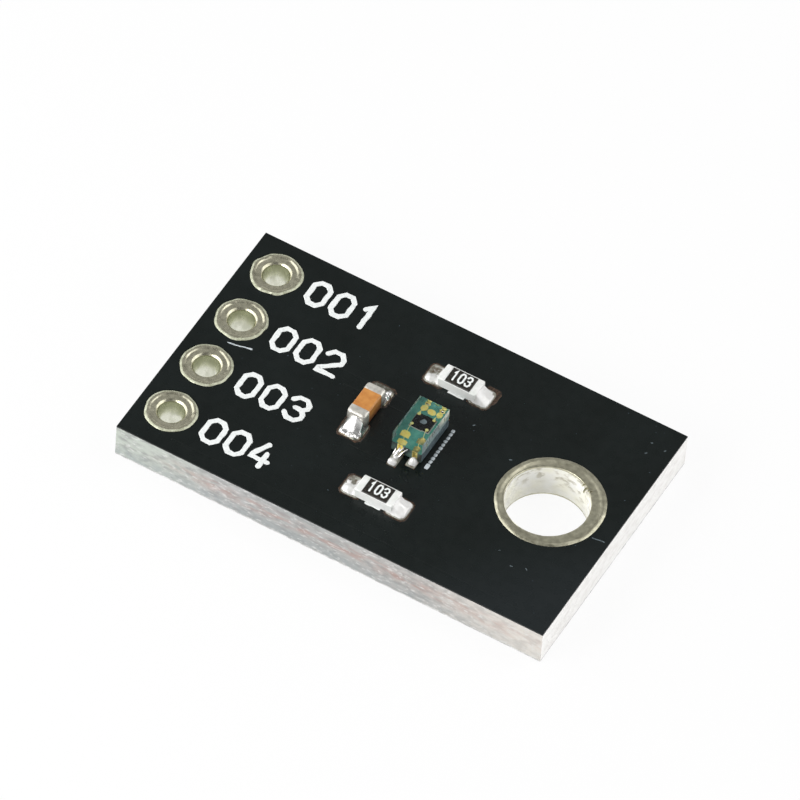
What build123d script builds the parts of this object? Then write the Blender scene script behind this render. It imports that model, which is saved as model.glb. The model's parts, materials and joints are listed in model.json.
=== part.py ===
from build123d import *
import os

# Small ultraviolet sensor board: a black circuit board with four pin pads along
# the left edge, a plain mounting hole at the right, two chip resistors, one chip
# capacitor and an optical sensor in a clear package.
# Millimetres. +X runs from the pin pads to the mounting hole, +Y to the back edge,
# +Z up. The origin is the centre of the underside.

# Layers of the board
board_thickness = 1.6
mask_thickness = 0.03
copper_thickness = 0.035

# Pin row
pin_names = ["ground", "supply", "clock", "data"]
pin_pitch = 2.54
pin_end_margin = 1.59
pin_edge_distance = 1.33
pin_row_shift = 0.08
pin_hole_radius = 0.5
pin_pad_radius = 1.0
barrel_wall = 0.025
pin_rim_width = 0.22
pad_rim_height = 0.045
pad_lip = 0.06
pad_face_height = 0.01

# Mounting hole and its tinned rings. The drill ran a little off the ring's centre.
mounting_hole_radius = 1.6
mounting_ring_width = 0.465
mounting_rim_width = 0.24
drill_shift_x = -0.11
drill_shift_y = -0.03
mounting_ring_y = 0.05
mounting_ring_edge_margin = 0.695

# Distances along the board, from the pin row to the mounting ring
pins_to_capacitor = 6.04
capacitor_to_sensor = 2.27
sensor_to_vias = 2.06
via_to_ring_gap = 1.025

# Chip resistors, lying along X
resistor_length = 1.6
resistor_width = 0.8
resistor_height = 0.45
resistor_end_band = 0.28
resistor_land_span = 2.72
resistor_land_length = 0.84
resistor_land_width = 0.94
resistor_land_shift = 0.05
resistor_placement_shift = 0.04
overcoat_thickness = 0.035
overcoat_side_margin = 0.04
back_resistor_gap = 1.48
front_resistor_gap = 1.82

# Chip capacitor, lying along Y
capacitor_length = 1.6
capacitor_width = 0.8
capacitor_height = 0.8
capacitor_end_band = 0.36
capacitor_corner = 0.08
capacitor_land_span = 2.83
capacitor_land_length = 0.94
capacitor_land_width = 0.94
capacitor_y = 0.03
capacitor_placement_shift = -0.05

# Shared by the chips
terminal_thickness = 0.03
terminal_edge_radius = 0.035
solder_side_margin = 0.03
solder_climb = 0.75
solder_hollow = 0.25
solder_toe_radius = 0.2

# Optical sensor
sensor_width = 1.25
sensor_length = 2.0
sensor_height = 1.0
sensor_y = 0.05
sensor_standoff = 0.05
substrate_thickness = 0.45
gold_thickness = 0.02
castellation_radius = 0.11
castellation_wall = 0.03
lead_corner = 0.08
lead_setback = 0.07
back_lead_width = 0.21
back_lead_length = 0.29
back_lead_spread = 0.3
front_left_lead_width = 0.36
front_right_lead_width = 0.24
front_lead_length = 0.5
front_lead_reach = 0.46
centre_pad_width = 0.32
centre_pad_length = 0.25
centre_pad_setback = 0.14
underside_pad_length = 0.4
die_width = 0.7
die_length = 0.62
die_thickness = 0.12
die_shift_y = 0.15
adhesive_thickness = 0.02
adhesive_border = 0.03
bond_wire_radius = 0.015
wire_sides = 6
bond_foot_radius = 0.035
bond_foot_height = 0.03
bond_inset = 0.08
bond_loop_height = 0.1
bond_knees = (0.2, 0.65)
resin_edge_break = 0.02

# Lands and solder under the sensor
sensor_land_width = 0.4
sensor_land_length = 0.62
ground_land_length = 0.94
sensor_land_inset = 0.25
sensor_solder_height = 0.3
solder_flank = 0.05

# Copper tracks
track_width = 0.25
supply_track_width = 0.56
ground_track_width = 0.3
track_clearance = 0.2
pour_margin = 0.35
via_radius = 0.2
via_ring_radius = 0.35
via_row_spacing = 3.8
hidden_sides = 12
branch_offset = 1.15
bottom_jog = 1.8

# Heights worked out from the layers
laminate_bottom = mask_thickness + copper_thickness
laminate_top = board_thickness - mask_thickness - copper_thickness
laminate_thickness = laminate_top - laminate_bottom
copper_top = laminate_top + copper_thickness
board_top = board_thickness

# Board outline and the places of everything along it
pin_count = len(pin_names)
mounting_ring_radius = mounting_hole_radius + mounting_ring_width
vias_to_mounting_ring = via_ring_radius + via_to_ring_gap + mounting_ring_radius
ring_edge_distance = mounting_ring_radius + mounting_ring_edge_margin
board_length = (pin_edge_distance + pins_to_capacitor + capacitor_to_sensor + sensor_to_vias
                + vias_to_mounting_ring + ring_edge_distance)
board_width = (pin_count - 1) * pin_pitch + 2 * pin_end_margin
pin_x = -board_length / 2 + pin_edge_distance
capacitor_x = pin_x + pins_to_capacitor
sensor_x = capacitor_x + capacitor_to_sensor
via_x = sensor_x + sensor_to_vias
mounting_ring_x = via_x + vias_to_mounting_ring
ring_centre = (mounting_ring_x, mounting_ring_y)
hole_centre = (mounting_ring_x + drill_shift_x, mounting_ring_y + drill_shift_y)
pin_centres = {}
for index, pin_name in enumerate(pin_names):
    pin_centres[pin_name] = (pin_x, pin_row_shift + ((pin_count - 1) / 2 - index) * pin_pitch)

sensor_back = sensor_y + sensor_length / 2
sensor_front = sensor_y - sensor_length / 2
resistor_land_x = sensor_x + resistor_land_shift
back_resistor_y = sensor_back + back_resistor_gap + resistor_width / 2
front_resistor_y = sensor_front - front_resistor_gap - resistor_width / 2

# Lands: name, centre and size of each bare pad
lands = {}


def add_chip_lands(name, centre, span, length, width, along_y=False):
    """Two equal lands, span apart over all, for a chip with a terminal at each end."""
    reach = span / 2 - length / 2
    for side, end in ((-1, "front" if along_y else "left"), (1, "back" if along_y else "right")):
        if along_y:
            place = (centre[0], centre[1] + side * reach)
            size = (width, length)
        else:
            place = (centre[0] + side * reach, centre[1])
            size = (length, width)
        lands[name + "_" + end + "_land"] = (place, size)


add_chip_lands("back_resistor", (resistor_land_x, back_resistor_y),
               resistor_land_span, resistor_land_length, resistor_land_width)
add_chip_lands("front_resistor", (resistor_land_x, front_resistor_y),
               resistor_land_span, resistor_land_length, resistor_land_width)
add_chip_lands("capacitor", (capacitor_x, capacitor_y - capacitor_placement_shift),
               capacitor_land_span, capacitor_land_length, capacitor_land_width, along_y=True)

# Sensor terminals: side along X, side along Y, the board land's length and the lead's width
sensor_ends = {
    "back_left": (-1, 1, sensor_land_length, back_lead_width),
    "back_right": (1, 1, sensor_land_length, back_lead_width),
    "front_left": (-1, -1, ground_land_length, front_left_lead_width),
    "front_right": (1, -1, sensor_land_length, front_right_lead_width),
}


def sensor_end_place(name):
    """The middle of a sensor terminal's castellation, on the package's end face."""
    side_x, side_y, _, lead_width = sensor_ends[name]
    spread = back_lead_spread if side_y > 0 else front_lead_reach - lead_width / 2
    return sensor_x + side_x * spread, sensor_y + side_y * sensor_length / 2


for end_name, (side_x, side_y, land_length, lead_width) in sensor_ends.items():
    end_x, end_y = sensor_end_place(end_name)
    middle_y = end_y + side_y * (land_length / 2 - sensor_land_inset)
    lands["sensor_" + end_name + "_land"] = ((end_x, middle_y), (sensor_land_width, land_length))

# Track routes, as corner points in the board's plane
supply_y = lands["capacitor_back_land"][0][1]
ground_y = lands["capacitor_front_land"][0][1] - capacitor_land_length / 2 - ground_track_width
branch_x = capacitor_x - branch_offset
resistor_branch_x = (capacitor_x + sensor_x) / 2
clock_via = (via_x, sensor_y + via_row_spacing / 2)
data_via = (via_x, sensor_y - via_row_spacing / 2)
ground_via = (resistor_branch_x, ground_y)
vias = [clock_via, data_via, ground_via]


def land_centre(name):
    """The middle of a named land."""
    return lands[name][0]


supply_routes = [
    ([(pin_x, supply_y), (land_centre("sensor_back_left_land")[0], supply_y)], supply_track_width),
    ([(resistor_branch_x, supply_y), (resistor_branch_x, back_resistor_y),
      land_centre("back_resistor_left_land")], track_width),
    ([(branch_x, supply_y), (branch_x, front_resistor_y),
      land_centre("front_resistor_left_land")], track_width),
]
ground_routes = [
    ([land_centre("capacitor_front_land"), (capacitor_x, ground_y),
      (land_centre("sensor_front_left_land")[0], ground_y),
      land_centre("sensor_front_left_land")], ground_track_width),
]
clock_top_routes = [
    ([clock_via, (via_x, back_resistor_y), land_centre("back_resistor_right_land")], track_width),
    ([clock_via, land_centre("sensor_back_right_land")], track_width),
]
data_top_routes = [
    ([data_via, (via_x, front_resistor_y), land_centre("front_resistor_right_land")], track_width),
    ([data_via, land_centre("sensor_front_right_land")], track_width),
]
clock_bottom_routes = [
    ([pin_centres["clock"], (pin_x + bottom_jog, pin_centres["clock"][1]),
      (capacitor_x, clock_via[1]), clock_via], track_width),
]
data_bottom_routes = [
    ([pin_centres["data"], (sensor_x, pin_centres["data"][1]), data_via], track_width),
]


def finish(piece, name):
    """Label a finished piece and write its STEP file."""
    piece.part.label = name
    export_step(piece.part, "parts/" + name + ".step")


def draw_tracks(routes, extra=0.0, mode=Mode.ADD):
    """Mitred tracks in the sketch being built, widened by extra on each side."""
    for points, width in routes:
        with BuildLine() as route:
            Polyline(*points)
        trace(route.line, line_width=width + 2 * extra, mode=mode)


def cut_pin_pads():
    """Round openings for the four pin pads, cut from the sketch being built."""
    with Locations(*pin_centres.values()):
        Circle(pin_pad_radius, mode=Mode.SUBTRACT)


def draw_barrel_outside(mode=Mode.ADD):
    """The hidden outside of a pin hole's plating, as a prism just round the hole."""
    RegularPolygon(pin_hole_radius + barrel_wall, hidden_sides, major_radius=False, mode=mode)


def draw_lands(names, mode=Mode.ADD):
    """The named lands, in the sketch being built."""
    for land_name in names:
        place, size = lands[land_name]
        with Locations(place):
            Rectangle(*size, mode=mode)


os.makedirs("parts", exist_ok=True)

# Glass-fibre laminate, drilled for the pins, the vias and the mounting screw
with BuildPart() as laminate:
    with BuildSketch(Plane.XY.offset(laminate_bottom)):
        Rectangle(board_length, board_width)
        with Locations(*pin_centres.values()):
            draw_barrel_outside(Mode.SUBTRACT)
        with Locations(hole_centre):
            Circle(mounting_hole_radius, mode=Mode.SUBTRACT)
        with Locations(*vias):
            RegularPolygon(via_radius, hidden_sides, mode=Mode.SUBTRACT)
    extrude(amount=laminate_thickness)
finish(laminate, "board_laminate")

# Copper. Each net is one piece: its tracks and bare lands, and the plugged via that
# joins the two faces.
copper_nets = []

with BuildPart() as supply_copper:
    with BuildSketch(Plane.XY.offset(laminate_top)):
        draw_tracks(supply_routes)
        draw_lands(["capacitor_back_land", "back_resistor_left_land", "front_resistor_left_land",
                    "sensor_back_left_land"])
        cut_pin_pads()
    extrude(amount=copper_thickness)
finish(supply_copper, "supply_copper")
copper_nets.append(supply_copper.part)

signal_nets = {
    "clock": (clock_top_routes, clock_bottom_routes, clock_via,
              ["back_resistor_right_land", "sensor_back_right_land"]),
    "data": (data_top_routes, data_bottom_routes, data_via,
             ["front_resistor_right_land", "sensor_front_right_land"]),
}
for net_name, (top_routes, bottom_routes, via, net_lands) in signal_nets.items():
    with BuildPart() as signal_copper:
        with BuildSketch(Plane.XY.offset(laminate_top)):
            draw_tracks(top_routes)
            draw_lands(net_lands)
            with Locations(via):
                RegularPolygon(via_ring_radius, hidden_sides)
        extrude(amount=copper_thickness)
        with BuildSketch(Plane.XY.offset(mask_thickness)):
            draw_tracks(bottom_routes)
            with Locations(via):
                RegularPolygon(via_ring_radius, hidden_sides)
            cut_pin_pads()
        extrude(amount=copper_thickness)
        with BuildSketch(Plane.XY.offset(laminate_bottom)):
            with Locations(via):
                RegularPolygon(via_radius, hidden_sides)
        extrude(amount=laminate_thickness)
    finish(signal_copper, net_name + "_copper")
    copper_nets.append(signal_copper.part)

# Ground: a short track on top, a via, and a pour over most of the underside
with BuildPart() as ground_copper:
    with BuildSketch(Plane.XY.offset(laminate_top)):
        draw_tracks(ground_routes)
        draw_lands(["capacitor_front_land", "sensor_front_left_land"])
        with Locations(ground_via):
            RegularPolygon(via_ring_radius, hidden_sides)
    extrude(amount=copper_thickness)
    with BuildSketch(Plane.XY.offset(mask_thickness)):
        Rectangle(board_length - 2 * pour_margin, board_width - 2 * pour_margin)
        with Locations(pin_centres["ground"]):
            Circle(pin_pad_radius, mode=Mode.SUBTRACT)
        with Locations(*[pin_centres[pin_name] for pin_name in pin_names if pin_name != "ground"]):
            RegularPolygon(pin_pad_radius + track_clearance, hidden_sides, major_radius=False,
                           mode=Mode.SUBTRACT)
        with Locations(ring_centre):
            RegularPolygon(mounting_ring_radius + track_clearance, hidden_sides, major_radius=False,
                           mode=Mode.SUBTRACT)
        draw_tracks(clock_bottom_routes + data_bottom_routes, track_clearance, Mode.SUBTRACT)
        with Locations(clock_via, data_via):
            RegularPolygon(via_ring_radius + track_clearance, hidden_sides, mode=Mode.SUBTRACT)
    extrude(amount=copper_thickness)
    with BuildSketch(Plane.XY.offset(laminate_bottom)):
        with Locations(ground_via):
            RegularPolygon(via_radius, hidden_sides)
    extrude(amount=laminate_thickness)
finish(ground_copper, "ground_copper")
copper_nets.append(ground_copper.part)

# Solder mask, filled in round the copper and open at the pads
with BuildPart() as top_mask:
    with BuildSketch(Plane.XY.offset(laminate_top)):
        Rectangle(board_length, board_width)
        cut_pin_pads()
        with Locations(ring_centre):
            Circle(mounting_ring_radius, mode=Mode.SUBTRACT)
        draw_lands(lands, Mode.SUBTRACT)
    extrude(amount=copper_thickness + mask_thickness)
    for net in copper_nets:
        add(net, mode=Mode.SUBTRACT)
finish(top_mask, "top_solder_mask")

with BuildPart() as bottom_mask:
    with BuildSketch():
        Rectangle(board_length, board_width)
        cut_pin_pads()
        with Locations(ring_centre):
            Circle(mounting_ring_radius, mode=Mode.SUBTRACT)
    extrude(amount=copper_thickness + mask_thickness)
    for net in copper_nets:
        add(net, mode=Mode.SUBTRACT)
finish(bottom_mask, "bottom_solder_mask")


def upright_plane(x, y):
    """A vertical plane facing the front, with its origin on the underside at x, y."""
    return Plane(origin=(x, y, 0), x_dir=(1, 0, 0), z_dir=(0, -1, 0))


# Plated pin holes: a flush ring below, a barrel, and on top a ring with a raised ridge
pad_face = board_top + pad_face_height
rim_top = board_top + pad_rim_height
for pin_name, (x, y) in pin_centres.items():
    with BuildPart() as pin_pad:
        with BuildSketch():
            with Locations((x, y)):
                Circle(pin_pad_radius)
        extrude(amount=laminate_bottom)
        with BuildSketch(Plane.XY.offset(laminate_bottom)):
            with Locations((x, y)):
                draw_barrel_outside()
        extrude(amount=laminate_thickness)
        with BuildSketch(upright_plane(x, y)):
            with BuildLine():
                Polyline(
                    (pin_pad_radius, board_top),
                    (pin_pad_radius, laminate_top),
                    (0, laminate_top),
                    (0, pad_face - pad_lip),
                    (pin_hole_radius, pad_face - pad_lip),
                    (pin_hole_radius + pad_lip, pad_face),
                    (pin_pad_radius - pin_rim_width, pad_face),
                    (pin_pad_radius - pin_rim_width / 2, rim_top),
                    close=True,
                )
            make_face()
        revolve(axis=Axis((x, y, 0), (0, 0, 1)))
        with BuildSketch():
            with Locations((x, y)):
                Circle(pin_hole_radius)
        extrude(amount=pad_face, mode=Mode.SUBTRACT)
    finish(pin_pad, pin_name + "_pin_pad")

# Tinned rings round the mounting hole, drilled through a little off centre
with BuildPart() as ring_top:
    with BuildSketch(upright_plane(*ring_centre)):
        with BuildLine():
            Polyline(
                (mounting_ring_radius, board_top),
                (mounting_ring_radius, laminate_top),
                (0, laminate_top),
                (0, board_top),
                (mounting_ring_radius - mounting_rim_width, board_top),
                (mounting_ring_radius - mounting_rim_width / 2, rim_top),
                close=True,
            )
        make_face()
    revolve(axis=Axis((*ring_centre, 0), (0, 0, 1)))
    with BuildSketch(Plane.XY.offset(laminate_top)):
        with Locations(hole_centre):
            Circle(mounting_hole_radius)
    extrude(amount=copper_thickness + mask_thickness + pad_rim_height, mode=Mode.SUBTRACT)
finish(ring_top, "mounting_ring_top")

with BuildPart() as ring_bottom:
    with BuildSketch():
        with Locations(ring_centre):
            Circle(mounting_ring_radius)
        with Locations(hole_centre):
            Circle(mounting_hole_radius, mode=Mode.SUBTRACT)
    extrude(amount=copper_thickness + mask_thickness)
finish(ring_bottom, "mounting_ring_bottom")


def side_plane(seat):
    """The vertical plane along a chip, with the chip's length as its first axis."""
    return Plane(origin=seat.origin, x_dir=seat.x_dir, z_dir=-seat.y_dir)


def end_seats(seat, left, right):
    """The chip's seat as seen from each end: the end's name and a plane facing out of it."""
    return ((left, seat.rotated((0, 0, 180))), (right, seat))


def draw_fillet(inner, outer, height):
    """A solder fillet's section in the sketch being built, hollow towards its corner."""
    control = (inner + (outer - inner) * solder_hollow, height * solder_hollow)
    with BuildLine() as outline:
        Polyline((outer, 0), (inner, 0), (inner, height))
        Bezier((inner, height), control, (outer, 0))
    make_face(outline.edges())


def make_chip_solder(end_seat, land_name, land_length, half_length, chip_width, climb, name):
    """Solder on a land and up the chip's end face."""
    (land_x, land_y), size = lands[land_name]
    land_reach = end_seat.to_local_coords(Vector(land_x, land_y, board_top)).X + land_length / 2
    with BuildPart() as solder:
        with BuildSketch(side_plane(end_seat)):
            draw_fillet(half_length, land_reach, climb)
        extrude(amount=chip_width / 2, both=True)
        with BuildSketch(end_seat):
            with Locations((half_length, 0)):
                RectangleRounded(2 * (land_reach - half_length),
                                 chip_width - 2 * solder_side_margin, solder_toe_radius)
        extrude(amount=climb, mode=Mode.INTERSECT)
        with BuildSketch(Plane.XY.offset(copper_top)):
            with Locations((land_x, land_y)):
                Rectangle(*size)
        extrude(amount=mask_thickness)
    finish(solder, name)


def make_resistor(seat, prefix):
    """A thick-film chip resistor and its two solder joints."""
    with BuildPart() as body:
        with BuildSketch(seat.offset(terminal_thickness)):
            Rectangle(resistor_length - 2 * terminal_thickness, resistor_width)
        extrude(amount=resistor_height - 2 * terminal_thickness)
    finish(body, prefix + "_ceramic")
    with BuildPart() as overcoat:
        with BuildSketch(seat.offset(resistor_height - terminal_thickness)):
            Rectangle(resistor_length - 2 * resistor_end_band,
                      resistor_width - 2 * overcoat_side_margin)
        extrude(amount=overcoat_thickness)
        chamfer(overcoat.faces().sort_by(Axis.Z)[-1].edges(), overcoat_thickness / 2)
    finish(overcoat, prefix + "_overcoat")
    half_length = resistor_length / 2
    for end_name, end_seat in end_seats(seat, "left", "right"):
        with BuildPart() as cap:
            with BuildSketch(side_plane(end_seat)):
                with Locations((half_length - resistor_end_band / 2, resistor_height / 2)):
                    Rectangle(resistor_end_band, resistor_height)
                    Rectangle(resistor_end_band, resistor_height - 2 * terminal_thickness,
                              mode=Mode.SUBTRACT)
                with Locations((half_length - terminal_thickness / 2, resistor_height / 2)):
                    Rectangle(terminal_thickness, resistor_height)
            extrude(amount=resistor_width / 2, both=True)
            outer = cap.faces().sort_by(Axis(end_seat.origin, end_seat.x_dir))[-1]
            fillet(outer.edges().filter_by(Axis((0, 0, 0), end_seat.y_dir)), terminal_edge_radius)
        finish(cap, prefix + "_" + end_name + "_terminal")
        make_chip_solder(end_seat, prefix + "_" + end_name + "_land", resistor_land_length,
                         half_length, resistor_width, resistor_height * solder_climb,
                         prefix + "_" + end_name + "_solder")


def make_capacitor(seat):
    """A multilayer chip capacitor with wrapped ends and its two solder joints."""
    with BuildPart() as ceramic:
        with BuildSketch(seat.offset(terminal_thickness)):
            Rectangle(capacitor_length - 2 * terminal_thickness,
                      capacitor_width - 2 * terminal_thickness)
        extrude(amount=capacitor_height - 2 * terminal_thickness)
        chamfer(ceramic.edges(), capacitor_corner - terminal_thickness)
    finish(ceramic, "capacitor_ceramic")
    half_length = capacitor_length / 2
    for end_name, end_seat in end_seats(seat, "front", "back"):
        with BuildPart() as cap:
            with BuildSketch(end_seat):
                Rectangle(capacitor_length, capacitor_width)
            extrude(amount=capacitor_height)
            chamfer(cap.edges(), capacitor_corner)
            band_start = end_seat.from_local_coords((half_length - capacitor_end_band, 0, 0))
            split(bisect_by=Plane(origin=band_start, z_dir=end_seat.x_dir), keep=Keep.TOP)
            add(ceramic.part, mode=Mode.SUBTRACT)
        finish(cap, "capacitor_" + end_name + "_terminal")
        make_chip_solder(end_seat, "capacitor_" + end_name + "_land", capacitor_land_length,
                         half_length, capacitor_width, capacitor_height * solder_climb,
                         "capacitor_" + end_name + "_solder")


chip_x = resistor_land_x + resistor_placement_shift
for prefix, chip_y in (("back_resistor", back_resistor_y), ("front_resistor", front_resistor_y)):
    make_resistor(Plane(origin=(chip_x, chip_y, board_top), x_dir=(1, 0, 0)), prefix)
make_capacitor(Plane(origin=(capacitor_x, capacitor_y, board_top), x_dir=(0, 1, 0)))

# Sensor package: a small board with castellated gold leads, a die, wires and clear resin
substrate_bottom = board_top + sensor_standoff
substrate_top = substrate_bottom + substrate_thickness
package_top = substrate_bottom + sensor_height
die_bottom = substrate_top + adhesive_thickness
die_top = die_bottom + die_thickness
die_y = sensor_y + die_shift_y
buried = []

with BuildPart() as substrate:
    with BuildSketch(Plane.XY.offset(substrate_bottom)):
        with Locations((sensor_x, sensor_y)):
            Rectangle(sensor_width, sensor_length)
        with Locations(*[sensor_end_place(end_name) for end_name in sensor_ends]):
            Circle(castellation_radius, mode=Mode.SUBTRACT)
    extrude(amount=substrate_thickness)
finish(substrate, "sensor_substrate")

for end_name, (side_x, side_y, land_length, lead_width) in sensor_ends.items():
    end_x, end_y = sensor_end_place(end_name)
    lead_length = back_lead_length if side_y > 0 else front_lead_length
    with BuildPart() as lead:
        with BuildSketch(Plane.XY.offset(substrate_top)) as pad:
            with Locations((end_x, end_y - side_y * (lead_setback + lead_length / 2))):
                Rectangle(lead_width, lead_length)
            chamfer(pad.vertices(), lead_corner)
        extrude(amount=gold_thickness)
        with BuildSketch(Plane.XY.offset(substrate_bottom)):
            with Locations((end_x, end_y)):
                Circle(castellation_radius)
                Circle(castellation_radius - castellation_wall, mode=Mode.SUBTRACT)
            with Locations((end_x, end_y + side_y * castellation_radius)):
                Rectangle(4 * castellation_radius, 2 * castellation_radius, mode=Mode.SUBTRACT)
        extrude(amount=substrate_thickness)
        with BuildSketch(Plane.XY.offset(substrate_bottom - gold_thickness)):
            with Locations((end_x, end_y - side_y * underside_pad_length / 2)):
                Rectangle(lead_width, underside_pad_length)
            with Locations((end_x, end_y)):
                Circle(castellation_radius - castellation_wall, mode=Mode.SUBTRACT)
        extrude(amount=gold_thickness)
    finish(lead, "sensor_" + end_name + "_lead")
    buried.append(lead.part)

with BuildPart() as centre_pad:
    with BuildSketch(Plane.XY.offset(substrate_top)) as pad:
        with Locations((sensor_x, sensor_back - centre_pad_setback - centre_pad_length / 2)):
            Rectangle(centre_pad_width, centre_pad_length)
        chamfer(pad.vertices(), lead_corner)
    extrude(amount=gold_thickness)
finish(centre_pad, "sensor_back_centre_pad")
buried.append(centre_pad.part)

with BuildPart() as adhesive:
    with BuildSketch(Plane.XY.offset(substrate_top)):
        with Locations((sensor_x, die_y)):
            Rectangle(die_width + 2 * adhesive_border, die_length + 2 * adhesive_border)
    extrude(amount=adhesive_thickness)
finish(adhesive, "sensor_die_adhesive")
buried.append(adhesive.part)

with BuildPart() as die:
    with BuildSketch(Plane.XY.offset(die_bottom)):
        with Locations((sensor_x, die_y)):
            Rectangle(die_width, die_length)
    extrude(amount=die_thickness)
finish(die, "sensor_die")
buried.append(die.part)

# Bond wires: a foot on the lead, a rise, a level run, a drop and a foot near the die's corner
for end_name, (side_x, side_y, land_length, lead_width) in sensor_ends.items():
    end_x, end_y = sensor_end_place(end_name)
    lead_length = back_lead_length if side_y > 0 else front_lead_length
    lead_end = lead_setback + lead_length - bond_inset
    lead_point = Vector(end_x, end_y - side_y * lead_end, substrate_top + gold_thickness)
    die_point = Vector(sensor_x + side_x * (die_width / 2 - bond_inset),
                       die_y + side_y * (die_length / 2 - bond_inset), die_top)
    foot_lift = Vector(0, 0, bond_foot_height / 2)
    knees = []
    for share in bond_knees:
        spot = lead_point + (die_point - lead_point) * share
        knees.append(Vector(spot.X, spot.Y, die_top + bond_loop_height))
    with BuildPart() as wire:
        for foot in (lead_point, die_point):
            with BuildSketch(Plane(origin=foot)):
                RegularPolygon(bond_foot_radius, wire_sides)
            extrude(amount=bond_foot_height)
        with BuildLine() as wire_path:
            Polyline(lead_point + foot_lift, *knees, die_point + foot_lift)
        with BuildSketch(Plane(origin=wire_path.line @ 0, z_dir=wire_path.line % 0)):
            RegularPolygon(bond_wire_radius, wire_sides)
        sweep(path=wire_path.line, transition=Transition.RIGHT)
    finish(wire, "sensor_" + end_name + "_bond_wire")
    buried.append(wire.part)

with BuildPart() as resin:
    with BuildSketch(Plane.XY.offset(substrate_top)):
        with Locations((sensor_x, sensor_y)):
            Rectangle(sensor_width, sensor_length)
    extrude(amount=package_top - substrate_top)
    chamfer(resin.faces().sort_by(Axis.Z)[-1].edges(), resin_edge_break)
    for piece in buried:
        add(piece, mode=Mode.SUBTRACT)
finish(resin, "sensor_clear_resin")

# Solder under each sensor lead, up its castellation and out over the land
for end_name, (side_x, side_y, land_length, lead_width) in sensor_ends.items():
    end_x, end_y = sensor_end_place(end_name)
    place, size = lands["sensor_" + end_name + "_land"]
    reach = land_length - sensor_land_inset
    pad_underside = substrate_bottom - gold_thickness
    with BuildPart() as joint:
        with BuildSketch(Plane.XY.offset(copper_top)):
            with Locations(place):
                Rectangle(*size)
        extrude(amount=pad_underside - copper_top)
        with BuildSketch(Plane.XY.offset(pad_underside)):
            with Locations((end_x, end_y)):
                Circle(castellation_radius - castellation_wall)
            with Locations((end_x, end_y + side_y * castellation_radius)):
                Rectangle(4 * castellation_radius, 2 * castellation_radius, mode=Mode.SUBTRACT)
        extrude(amount=sensor_solder_height + gold_thickness)
        with BuildSketch(Plane(origin=(end_x, end_y, pad_underside), x_dir=(0, side_y, 0),
                               z_dir=(side_y, 0, 0))):
            draw_fillet(0, reach, sensor_solder_height)
        extrude(amount=lead_width / 2 - solder_flank, both=True)
    finish(joint, "sensor_" + end_name + "_solder")
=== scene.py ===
import json
import math

import bmesh
import bpy
from mathutils import Matrix, Vector, noise


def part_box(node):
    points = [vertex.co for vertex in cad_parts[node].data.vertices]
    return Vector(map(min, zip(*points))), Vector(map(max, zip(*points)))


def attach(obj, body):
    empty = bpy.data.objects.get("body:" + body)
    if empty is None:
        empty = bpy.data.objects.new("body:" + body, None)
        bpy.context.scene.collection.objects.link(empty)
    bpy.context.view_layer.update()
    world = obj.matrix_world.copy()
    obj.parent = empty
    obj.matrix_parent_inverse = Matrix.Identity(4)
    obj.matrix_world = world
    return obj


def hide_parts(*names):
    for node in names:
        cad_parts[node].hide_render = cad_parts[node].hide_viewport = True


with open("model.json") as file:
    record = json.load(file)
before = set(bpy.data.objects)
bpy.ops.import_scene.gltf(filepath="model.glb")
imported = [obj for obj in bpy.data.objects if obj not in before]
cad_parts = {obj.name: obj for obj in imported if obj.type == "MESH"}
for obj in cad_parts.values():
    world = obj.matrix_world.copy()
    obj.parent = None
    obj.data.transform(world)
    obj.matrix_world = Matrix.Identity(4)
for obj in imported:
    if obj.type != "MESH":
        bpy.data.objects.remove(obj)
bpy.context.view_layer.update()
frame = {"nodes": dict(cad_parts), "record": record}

# Sizes and places are in millimetres in the CAD's frame, and turn into metres when a mesh
# is made. "Face" is the top of the board's lacquer.
MM = 0.001


def node_box(node):
    """A CAD node's lowest and highest corners, in millimetres."""
    low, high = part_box(node)
    return low / MM, high / MM


def middle_and_half(node):
    """The middle of a CAD node's box and its half size, in millimetres."""
    low, high = node_box(node)
    return (low + high) / 2, (high - low) / 2


def node_middle(node):
    return middle_and_half(node)[0]


FACE = node_box("top_solder_mask")[1].z
BOARD_LOW, BOARD_HIGH = node_box("board_laminate")
PIN_NAMES = ("ground", "supply", "clock", "data")
RESISTORS = ("back_resistor", "front_resistor")
SENSOR_ENDS = ("back_left", "back_right", "front_left", "front_right")
SENSOR_LOW, SENSOR_HIGH = node_box("sensor_clear_resin")
HOLE = next(mount for mount in frame["record"]["mounts"] if mount["name"] == "mounting_hole")
HOLE_CENTRE = Vector(HOLE["pos_m"][:2]) / MM
HOLE_RADIUS = HOLE["dims"]["r_mm"]


# Materials

def tint(red, green, blue):
    """A colour as it shows on a screen, 0 to 255, turned into the shader's linear values."""
    linear = []
    for channel in (red, green, blue):
        share = channel / 255
        linear.append(share / 12.92 if share < 0.04 else ((share + 0.055) / 1.055) ** 2.4)
    return (*linear, 1.0)


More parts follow.
